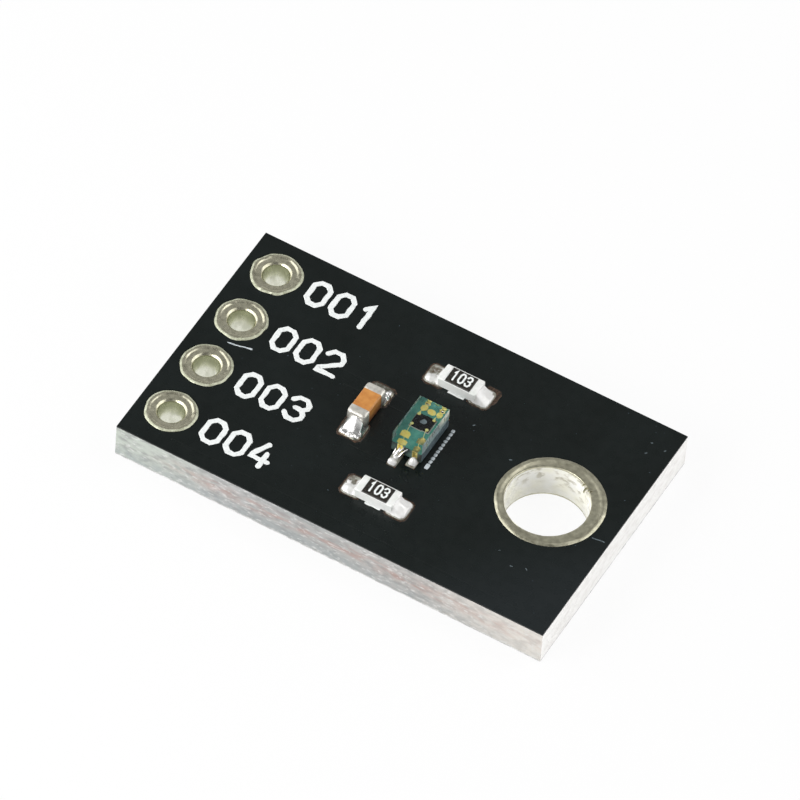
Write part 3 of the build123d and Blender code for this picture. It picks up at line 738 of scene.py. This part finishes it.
STROKE = 0.205
FIGURE_WIDTH = 0.875
FIGURE_HEIGHT = 1.27
FIGURE_PITCH = 1.02
INK_THICKNESS = 0.014
INK_SINK = 0.002
LABEL_LEFT = -6.26
LABEL_DROP = 0.62
# Strokes on a box 1 wide and 1 high, and whether the stroke closes on itself
FIGURES = {
    "0": [([(0.3, 0), (0.7, 0), (1, 0.2), (1, 0.8), (0.7, 1), (0.3, 1), (0, 0.8), (0, 0.2)], True)],
    "1": [([(0.18, 0.8), (0.5, 1), (0.5, 0)], False)],
    "2": [([(0, 0.8), (0.28, 1), (0.72, 1), (1, 0.8), (1, 0.6), (0, 0.12), (0, 0), (1, 0)], False)],
    "3": [([(0, 0.82), (0.28, 1), (0.72, 1), (1, 0.82), (1, 0.66), (0.76, 0.52)], False),
          ([(0.36, 0.52), (0.76, 0.52), (1, 0.36), (1, 0.18), (0.72, 0), (0.28, 0), (0, 0.18)], False)],
    "4": [([(0.5, 1), (0, 0.42), (0, 0.3), (1, 0.3)], False),
          ([(0.7, 0.62), (0.7, 0)], False)],
}
STROKE_STEP = 0.0012


def add_figures(build, text, left, bottom, width, height, pitch, stroke, base, thickness, wobble):
    """Figures along +X on a surface at base, their outer edges inside width and height. A stroke
    that crosses another lies a hair above it."""
    for index, figure in enumerate(text):
        for level, (path, closed) in enumerate(FIGURES[figure]):
            placed = [(left + index * pitch + stroke / 2 + x * (width - stroke),
                       bottom + stroke / 2 + y * (height - stroke)) for x, y in path]
            ribbon(build, placed, stroke, base - INK_SINK, base + thickness + level * STROKE_STEP,
                   closed=closed, wobble=wobble, bevel=0.06 * stroke, seed=index * 3.0)


def add_labels():
    for number, pin in enumerate(PIN_NAMES, 1):
        build = bmesh.new()
        bottom = node_middle(pin + "_pin_pad").y - LABEL_DROP
        add_figures(build, f"{number:03d}", LABEL_LEFT, bottom, FIGURE_WIDTH, FIGURE_HEIGHT,
                    FIGURE_PITCH, STROKE, FACE, INK_THICKNESS, 0.03)
        finish_piece(pin + "_label", build, [INK])


def print_strokes(name, material, strokes):
    """One piece of ink on the lacquer. Each stroke is a path, width, height and settings."""
    build = bmesh.new()
    for path, width, height, settings in strokes:
        ribbon(build, path, width, FACE - INK_SINK, FACE + height, **settings)
    finish_piece(name, build, [material])


BEAD_X = 1.57
BEAD_TOP = 1.07
BEAD_BOTTOM = -0.98
BEAD_COUNT = 11
BEAD_WIDTH = 0.14
BEAD_HALF_LENGTH = 0.024
LAST_BEAD_TAIL = 0.13
DASH = [(-7.5, 0.155), (-7.2, 0.2), (-6.85, 0.28), (-6.6, 0.345)]
# Faint scratches and dust on the lacquer: path and width
FAINT_MARKS = [
    ([(8.3, -0.57), (8.55, -0.54), (8.75, -0.52)], 0.045),
    ([(8.55, 4.33), (8.59, 4.37)], 0.05),
    ([(8.01, 3.88), (8.05, 3.92)], 0.05),
    ([(7.97, 4.41), (8.01, 4.43)], 0.04),
    ([(3.97, 0.95), (4.03, 0.98)], 0.05),
    ([(2.05, 1.62), (2.09, 1.66)], 0.05),
    ([(6.4, -3.3), (6.46, -3.28)], 0.05),
    ([(6.95, -3.1), (7.0, -3.14)], 0.05),
    ([(5.7, -2.9), (5.73, -2.87)], 0.04),
]


def add_small_printing():
    """The dash by the second pad, faint marks, the beaded line by the sensor, and ticks by the
    resistors."""
    print_strokes("pad_dash", GREY_INK, [(DASH, 0.06, 0.008, {"wobble": 0.03})])
    print_strokes("faint_marks", FAINT_INK,
                  [(path, width, 0.004, {"wobble": 0.4 * width}) for path, width in FAINT_MARKS])
    gap = (BEAD_TOP - BEAD_BOTTOM) / BEAD_COUNT
    beads = []
    for bead in range(BEAD_COUNT):
        last = bead == BEAD_COUNT - 1
        y = BEAD_TOP - gap * (bead + 0.5)
        foot = y - (LAST_BEAD_TAIL if last else BEAD_HALF_LENGTH)
        beads.append(([(BEAD_X, y + BEAD_HALF_LENGTH), (BEAD_X, foot)],
                      BEAD_WIDTH * (1.2 if last else 1.0), 0.012,
                      {"wobble": 0.02, "seed": bead, "end_angles": (40, 15)}))
    print_strokes("sensor_line", GREY_INK, beads)
    line = [(BEAD_X, BEAD_TOP - gap / 2), (BEAD_X, BEAD_BOTTOM + gap / 2)]
    print_strokes("sensor_line_base", WORN_INK, [(line, 0.5 * BEAD_WIDTH, 0.004, {"wobble": 0.02})])
    print_strokes("resistor_ticks", INK, [
        ([(0.5, 2.52), (1.14, 2.52)], 0.16, INK_THICKNESS, {"wobble": 0.02, "end_angles": (12,)}),
        ([(0.5, -3.54), (1.1, -3.54)], 0.2, INK_THICKNESS, {"wobble": 0.03, "end_angles": (12,)}),
    ])


# Resistor codes

CODE = "103"
CODE_SIZE = (0.26, 0.52)
CODE_PITCH = 0.285
CODE_STROKE = 0.078


def add_code(prefix):
    middle, half = middle_and_half(prefix + "_overcoat")
    width = 2 * CODE_PITCH + CODE_SIZE[0]
    build = bmesh.new()
    add_figures(build, CODE, middle.x - width / 2, middle.y - CODE_SIZE[1] / 2 + 0.03, *CODE_SIZE,
                CODE_PITCH, CODE_STROKE, middle.z + half.z, 0.006, 0.01)
    finish_piece(prefix + "_code", build, [INK])


# Solder: a pool on each land that climbs the chip's end

POOL_SPOKES = 84
POOL_RINGS = 22
POOL_CORNER = 5.0
POOL_LIFT = 0.003
POOL_SKIN = 0.03
POOL_GRAIN = 0.005


def solder_pool(node, edge, out, half_width, climb, reach, lumps, seed, lean=0.0, ridge=0.45,
                hump_form=gaussian, material=WHITE_GLARE_SOLDER):
    """The skin of one joint. edge is a point on the chip's end, out the way that end faces,
    lumps are extra humps as x, y, radius and height, and lean moves the fillet's crest aside."""
    middle, half = middle_and_half(node)
    out = Vector(out)
    across = Vector((-out.y, out.x))
    loops = []
    for ring in range(1, POOL_RINGS + 1):
        share = (ring / POOL_RINGS) ** 0.85
        loop = []
        for turn in turns(POOL_SPOKES):
            cos, sin = math.cos(turn), math.sin(turn)
            stretch = (abs(cos) ** POOL_CORNER + abs(sin) ** POOL_CORNER) ** (-1 / POOL_CORNER)
            x = middle.x + share * stretch * cos * half.x
            y = middle.y + share * stretch * sin * half.y
            offset = Vector((x, y)) - Vector(edge)
            away, aside = offset.dot(out), offset.dot(across)
            rise = climb * max(0.0, 1 - max(0.0, away) / reach) ** 1.9
            crest = abs(aside - lean) / (half_width + abs(lean))
            rise *= 1 - ridge * min(1.0, crest) ** 2
            rise *= 1 - eased(abs(aside), half_width - 0.08, half_width + 0.04)
            hump = max([height * hump_form(x, y, *place) for *place, height in lumps], default=0.0)
            grain = POOL_GRAIN * noise.noise(Vector((x * 3, y * 3, seed)))
            rim = 1 - eased(share, 0.8, 1.0) ** 2
            loop.append((x, y, FACE + POOL_LIFT + rim * (POOL_SKIN + math.hypot(rise, hump) + grain)))
        loops.append(loop)
    loops.append([(x, y, middle.z - half.z) for x, y, _ in loops[-1]])
    build = bmesh.new()
    add_loops(build, loops)
    finish_piece(node + "_skin", build, [material], [node], sharp=60)


FLUX_WIDTH = 0.11
FLUX_CORNER = 0.12
FLUX_SINK = 0.003


def flux_frame(build, node):
    """A thin film of flux round a land."""
    low, high = node_box(node)
    left, right = low.x + FLUX_CORNER, high.x - FLUX_CORNER
    front, back = low.y + FLUX_CORNER, high.y - FLUX_CORNER
    path = [(left, low.y), (right, low.y), (high.x, front), (high.x, back), (right, high.y),
            (left, high.y), (low.x, back), (low.x, front)]
    ribbon(build, path, FLUX_WIDTH, FACE - FLUX_SINK, FACE + 0.006, closed=True, wobble=0.05)


JOINT_HALF_WIDTH = 0.4
JOINT_GAP = 0.03
CAPACITOR_X = node_middle("capacitor_ceramic").x
# Settings of a joint: the way its end faces, climb, reach and the rest
RESISTOR_LEFT = ((-1, 0), 0.16, 0.26, {"seed": 1.3})
RESISTOR_RIGHT = ((1, 0), 0.38, 0.5, {"seed": 4.1, "lean": -0.1})
CAPACITOR_FRONT = ((0, -1), 0.6, 0.62,
                   {"seed": 2.2, "lean": 0.02, "ridge": 0.85, "material": SOLDER})
CAPACITOR_BACK = ((0, 1), 0.34, 0.36, {"seed": 6.4, "material": SOLDER})
CHIP_JOINTS = [
    ("back_resistor_left", RESISTOR_LEFT, [(-0.36, 2.66, 0.17, 0.13)]),
    ("back_resistor_right", RESISTOR_RIGHT, [(1.74, 2.8, 0.3, 0.2)]),
    ("front_resistor_left", RESISTOR_LEFT, [(-0.32, -3.4, 0.2, 0.16), (-0.46, -3.12, 0.1, 0.05)]),
    ("front_resistor_right", RESISTOR_RIGHT, [(1.8, -3.2, 0.36, 0.24)]),
    ("capacitor_front", CAPACITOR_FRONT,
     [(CAPACITOR_X - 0.28, -1.18, 0.2, 0.08), (CAPACITOR_X + 0.02, -1.26, 0.09, 0.1),
      (CAPACITOR_X + 0.18, -1.25, 0.1, 0.1), (CAPACITOR_X + 0.39, -1.04, 0.08, 0.12)]),
    ("capacitor_back", CAPACITOR_BACK,
     [(CAPACITOR_X + 0.36, 1.02, 0.09, 0.16), (CAPACITOR_X + 0.3, 1.22, 0.09, 0.08)]),
]


def add_chip_joints():
    film = bmesh.new()
    for joint, (way, climb, reach, settings), lumps in CHIP_JOINTS:
        middle, half = middle_and_half(joint.rsplit("_", 1)[0] + "_ceramic")
        edge = [middle[axis] + way[axis] * (half[axis] + JOINT_GAP) for axis in (0, 1)]
        solder_pool(joint + "_solder", edge, way, JOINT_HALF_WIDTH, climb, reach, lumps, **settings)
        flux_frame(film, joint + "_solder")
    high = node_box("back_resistor_right_solder")[1]
    ribbon(film, [(high.x - 0.4, high.y + 0.07), (high.x + 0.01, high.y + 0.06),
                  (high.x + 0.07, high.y - 0.05), (high.x + 0.06, high.y - 0.5)], 0.19,
           FACE - FLUX_SINK, FACE + 0.0075, wobble=0.06, bevel=0.03, seed=7.0)
    finish_piece("flux_film", film, [FLUX])


# Chip ends, rounded as a dipped coat is

END_CUTS = 5
END_UNEVENNESS = 0.006
END_LIP = 0.02
CAPACITOR_ROUND = 0.13
RESISTOR_ROUND = 0.06


def add_chip_end(node, way, outer_round, material):
    """A chip's wrapped end. way points out of the chip, and outer_round rounds its outer edges."""
    middle, half = middle_and_half(node)
    way = Vector(way)
    build = bmesh.new()
    bmesh.ops.create_cube(build, size=2.0, matrix=Matrix.Diagonal((*half, 1)))
    inner_level = 0.001 - abs(half.xy.dot(way))
    outer = [edge for edge in build.edges
             if any(end.co.xy.dot(way) > inner_level for end in edge.verts)]
    bmesh.ops.bevel(build, geom=outer, offset=outer_round, segments=4, profile=0.5, affect="EDGES",
                    clamp_overlap=True)
    bmesh.ops.subdivide_edges(build, edges=build.edges[:], cuts=END_CUTS, use_grid_fill=True)
    for point in build.verts:
        depth = point.co.xy.dot(way) - inner_level
        narrow = END_LIP * (1 - eased(depth, 0.0, 0.05))
        for axis in range(3):
            if abs(point.co[axis]) > half[axis] - END_LIP and not (axis < 2 and way[axis]):
                point.co[axis] -= math.copysign(narrow, point.co[axis])
        dent = noise.noise(Vector(point.co * 5) + middle)
        point.co *= 1 - END_UNEVENNESS * (1 + dent) / (2 * max(half))
        point.co += middle
    finish_piece(node + "_skin", build, [material], [node], sharp=50)


def add_chip_ends():
    add_chip_end("capacitor_front_terminal", (0, -1), CAPACITOR_ROUND, CAPACITOR_END)
    add_chip_end("capacitor_back_terminal", (0, 1), CAPACITOR_ROUND, CAPACITOR_END)
    for prefix in RESISTORS:
        add_chip_end(prefix + "_left_terminal", (-1, 0), RESISTOR_ROUND, RESISTOR_END)
        add_chip_end(prefix + "_right_terminal", (1, 0), RESISTOR_ROUND, RESISTOR_END)


# Sensor

SUBSTRATE_TOP = node_box("sensor_substrate")[1].z
RESIN_POINTS = 40
RESIN_SAW_DEPTH = 0.002
RESIN_INSET = 0.0015
RESIN_EDGE = 0.028


def resin_outline(inset, z):
    """The block's outline at one height, drawn in by inset."""
    low, high = SENSOR_LOW, SENSOR_HIGH
    corners = [(low.x, low.y), (high.x, low.y), (high.x, high.y), (low.x, high.y)]
    loop = []
    for corner, after in zip(corners, corners[1:] + corners[:1]):
        for k in range(RESIN_POINTS):
            point = Vector(corner).lerp(Vector(after), k / RESIN_POINTS)
            mark = RESIN_SAW_DEPTH * max(0.0, noise.noise(Vector((0.0, point.y * 9, z * 0.8))))
            pull = inset + mark * eased(point.x, high.x - 0.02, high.x)
            loop.append((min(max(point.x, low.x + pull), high.x - pull),
                         min(max(point.y, low.y + pull), high.y - pull), z))
    return loop


def add_resin():
    """The clear block, its right side faintly saw-marked."""
    seat = SUBSTRATE_TOP - 0.004
    top = SENSOR_HIGH.z
    levels = [(RESIN_INSET, seat + rise) for rise in (0, 0.14, 0.28, 0.42)]
    levels += [(RESIN_INSET, top - RESIN_EDGE), (RESIN_EDGE * 0.3, top - RESIN_EDGE * 0.3),
               (RESIN_EDGE, top)]
    build = bmesh.new()
    add_loops(build, [resin_outline(*level) for level in levels])
    finish_piece("sensor_resin_block", build, [RESIN], ["sensor_clear_resin"],
                 sharp=25)


WIRE_RADIUS = 0.009
WIRE_POINTS = 15
WIRE_RISE = 0.13
FOOT_HEIGHT = 0.022
BALL_RADIUS = 0.062
BALL_HEIGHT = 0.04
BALL_PROFILE = [(0.0, 0.86), (0.25, 1.0), (0.6, 0.94), (0.85, 0.66), (1.0, 0.3)]


def add_bond_wire(end):
    """A ball on the die's corner, and an arched wire that thickens at its ball and its foot."""
    node = "sensor_" + end + "_bond_wire"
    middle, half = middle_and_half(node)
    die_middle, die_half = middle_and_half("sensor_die")
    right = 1 if "right" in end else -1
    back = 1 if "back" in end else -1
    ball = die_middle + Vector((right * (die_half.x - 0.06), back * (die_half.y - 0.05), die_half.z))
    foot = Vector((node_middle("sensor_" + end + "_lead").x, middle.y + back * (half.y - 0.035),
                   SUBSTRATE_TOP + FOOT_HEIGHT))
    build = bmesh.new()
    profile = [(BALL_RADIUS * share, BALL_HEIGHT * level) for level, share in BALL_PROFILE]
    add_turned_skin(build, *ball, profile, 24)
    points, radii = [], []
    start = ball + Vector((0, 0, BALL_HEIGHT * 0.7))
    for k in range(WIRE_POINTS):
        share = k / (WIRE_POINTS - 1)
        rise = WIRE_RISE * math.sin(math.pi * share) ** 0.8 * (1 - 0.3 * share)
        points.append(start.lerp(foot, share) + Vector((0, 0, rise)))
        thicker = 1.2 * eased(share, 0.86, 1.0) + 2.2 * (1 - eased(share, 0.14, 0.34))
        radii.append(WIRE_RADIUS * (1 + thicker))
    tube(build, points, radii, sides=12)
    finish_piece("sensor_" + end + "_wire_skin", build, [LIT_BOND_GOLD], [node])


WINDOW_PROFILE = [(0.11, 0.0), (0.1, 0.003), (0.06, 0.004)]


def add_die_window():
    """The light-sensitive patch in the middle of the die."""
    middle, half = middle_and_half("sensor_die")
    build = bmesh.new()
    add_turned_skin(build, middle.x + 0.02, middle.y + 0.02, middle.z + half.z, WINDOW_PROFILE, 36)
    finish_piece("sensor_die_window", build, [DIE_WINDOW])


# Thin strands of solder at the front left lead: path and the radius at each of its points
STRANDS = [
    ([(0.36, -1.2, 0.05), (0.38, -1.06, 0.18), (0.42, -0.99, 0.3), (0.45, -0.972, 0.42)],
     (0.075, 0.055, 0.04, 0.016)),
    ([(0.50, -1.14, 0.06), (0.58, -1.02, 0.22), (0.67, -0.98, 0.36), (0.75, -0.97, 0.47)],
     (0.055, 0.04, 0.032, 0.014)),
    ([(0.46, -1.05, 0.24), (0.54, -0.99, 0.36), (0.60, -0.972, 0.52)], (0.03, 0.03, 0.012)),
    ([(0.25, -1.12, 0.05), (0.26, -1.0, 0.16), (0.27, -0.972, 0.26)], (0.04, 0.03, 0.012)),
]


def add_sensor_joints():
    for end, out, y, climb, lumps in (
        ("back_left", 1, SENSOR_HIGH.y, 0.28, []),
        ("back_right", 1, SENSOR_HIGH.y, 0.28, []),
        ("front_left", -1, SENSOR_LOW.y, 0.12, [(0.40, -1.5, 0.19, 0.2), (0.42, -1.2, 0.1, 0.09)]),
        ("front_right", -1, SENSOR_LOW.y, 0.06, [(1.06, -1.1, 0.17, 0.27)]),
    ):
        x = node_middle("sensor_" + end + "_lead").x
        solder_pool("sensor_" + end + "_solder", (x, y), (0, out), 0.13, climb, 0.2, lumps,
                    seed=x * 5, hump_form=dome)
    build = bmesh.new()
    for path, radii in STRANDS:
        tube(build, [(x, y, FACE + z) for x, y, z in path], radii)
    finish_piece("sensor_solder_strands", build, [SOLDER])


# Materials of the CAD nodes that stay

KEPT_NODES = {
    "board_laminate": LAMINATE, "top_solder_mask": MASK, "bottom_solder_mask": UNDER_MASK,
    "mounting_ring_bottom": RING_TIN, "capacitor_ceramic": BROWN_CERAMIC,
    "sensor_substrate": SENSOR_BOARD, "sensor_die": SILICON, "sensor_die_adhesive": ADHESIVE,
    "sensor_back_centre_pad": GOLD,
    **{pin + "_copper": COPPER for pin in PIN_NAMES},
    **{"sensor_" + end + "_lead": GOLD for end in SENSOR_ENDS},
    "sensor_front_right_lead": DULL_GOLD,
    **{resistor + "_ceramic": WHITE_CERAMIC for resistor in RESISTORS},
    **{resistor + "_overcoat": OVERCOAT for resistor in RESISTORS},
}


def paint_kept_nodes():
    for node, material in KEPT_NODES.items():
        for material_slot in frame["nodes"][node].material_slots:
            material_slot.material = material


# Camera, lights and floor

# The camera's turn round the board, its height over the horizon, its roll, and its distance
CAMERA_TURN = math.radians(25.875)
CAMERA_RISE = math.radians(51.438)
CAMERA_ROLL = math.radians(5.149)
CAMERA_DISTANCE = 422.05
CAMERA_ASIDE = (-0.0968, 1.139)
CAMERA_LENS = 519.9
CAMERA_SENSOR = 36.0


def add_camera():
    axes = Matrix.Rotation(CAMERA_TURN, 3, "Z") @ Matrix.Rotation(math.pi / 2 - CAMERA_RISE, 3, "X")
    axes = axes @ Matrix.Rotation(CAMERA_ROLL, 3, "Z")
    place = Vector((0, 0, FACE)) + axes @ Vector((*CAMERA_ASIDE, CAMERA_DISTANCE))
    data = bpy.data.cameras.new("camera")
    data.lens = CAMERA_LENS
    data.sensor_width = CAMERA_SENSOR
    data.clip_start = 0.01
    camera = add_object("camera", data)
    camera.matrix_world = Matrix.Translation(place * MM) @ axes.to_4x4()
    bpy.context.scene.camera = camera


# Soft boxes: the way to each from the board, its distance and side, and its brightness
SOFT_BOXES = [
    ("left_box", (-0.84, -0.24, 0.48), 120, 150, 1.65),
    ("right_box", (0.78, 0.36, 0.5), 120, 140, 1.5),
    ("top_box", (0.30, 0.36, 0.88), 120, 50, 1.2),
    ("front_box", (-0.42, -0.79, 0.45), 150, 90, 4.7),
]
# The studio's brightness by height of view, and of the pale patch behind the board
SKY_LEVELS = [(0.1, 0.75), (0.38, 0.17), (1.0, 0.2)]
PATCH_WAY = (-0.27, 0.56, 0.78)
PATCH_LEVELS = [(0.78, 0.0), (0.95, 0.17)]


def add_lights():
    for name, way, distance, side, radiance in SOFT_BOXES:
        data = bpy.data.lights.new(name, "AREA")
        data.size = side * MM
        data.energy = radiance * math.pi * data.size ** 2
        light = add_object(name, data)
        direction = Vector(way).normalized()
        light.location = direction * distance * MM
        light.rotation_euler = direction.to_track_quat("Z", "Y").to_euler()


def add_sky():
    """A plain grey studio, paler near the horizon and in a soft patch behind the board."""
    world = bpy.data.worlds.new("studio")
    graph = Graph(world)
    way = graph.node("ShaderNodeTexCoord", {}).outputs["Generated"]
    toward = graph.node("ShaderNodeVectorMath", {0: way, 1: Vector(PATCH_WAY).normalized()},
                        operation="DOT_PRODUCT").outputs["Value"]
    shades = {}
    for number, source, levels in (0, graph.part(way, "Z"), SKY_LEVELS), (1, toward, PATCH_LEVELS):
        stops = [(position, (level, level, level, 1)) for position, level in levels]
        shades[number] = graph.ramp(source, stops)
    total = graph.node("ShaderNodeVectorMath", shades, operation="ADD")
    graph.feed(graph.nodes["Background"], {"Color": total.outputs[0]})
    bpy.context.scene.world = world


FLOOR_HALF = 900
# The sheet lies a hair under the board, so that the two faces don't mix
FLOOR_GAP = 0.004


def add_floor():
    half, low = FLOOR_HALF * MM, -FLOOR_GAP * MM
    corners = [(-half, -half, low), (half, -half, low), (half, half, low), (-half, half, low)]
    mesh = bpy.data.meshes.new("floor")
    mesh.from_pydata(corners, [], [(0, 1, 2, 3)])
    mesh.materials.append(make_floor())
    floor = add_object("floor", mesh)


paint_kept_nodes()
add_ridges()
add_vias()
for number, pin_name in enumerate(PIN_NAMES):
    add_pin_pad(pin_name, 1.7 * number + 0.4)
add_mounting_ring()
add_burrs()
add_labels()
add_small_printing()
for resistor_name in RESISTORS:
    add_code(resistor_name)
add_chip_ends()
add_chip_joints()
add_resin()
for end_name in SENSOR_ENDS:
    add_bond_wire(end_name)
add_die_window()
add_sensor_joints()
add_camera()
add_lights()
add_sky()
add_floor()

bpy.context.scene.view_settings.view_transform = "Standard"
